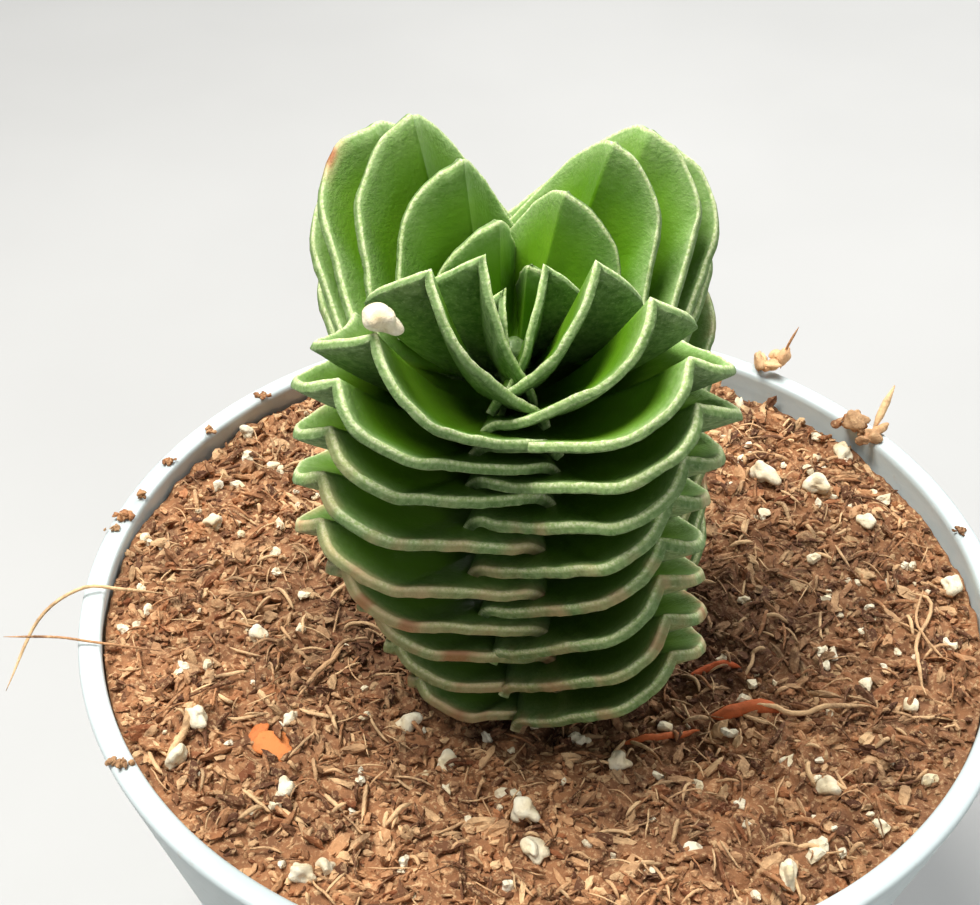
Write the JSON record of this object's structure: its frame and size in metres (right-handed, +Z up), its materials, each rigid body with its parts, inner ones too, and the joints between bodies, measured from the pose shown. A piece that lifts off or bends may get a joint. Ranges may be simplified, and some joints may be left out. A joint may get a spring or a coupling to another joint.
{
  "type": "potted succulent",
  "caption": "Square column of tightly stacked, cupped succulent leaves in four ranks, growing from coir soil with white grains in a tapered round plastic pot.",
  "frame": {"origin": "centre of the pot's flat underside", "axes": "+Z up along the pot's axis, -Y towards the side seen in the picture, +X to the right in the picture"},
  "size_m": [0.0994, 0.0994, 0.1291],
  "materials": {
    "pot_plastic": "smooth satin, pale grey-white",
    "soil": "coarse coir fibre with white mineral grains",
    "leaf": "fleshy green leaf with a fine grey-green bloom and pale edges"
  },
  "bodies": {
    "root": {"pot": "pot_plastic", "soil": "soil", "leafy_stem": "leaf"}
  },
  "joints": []
}
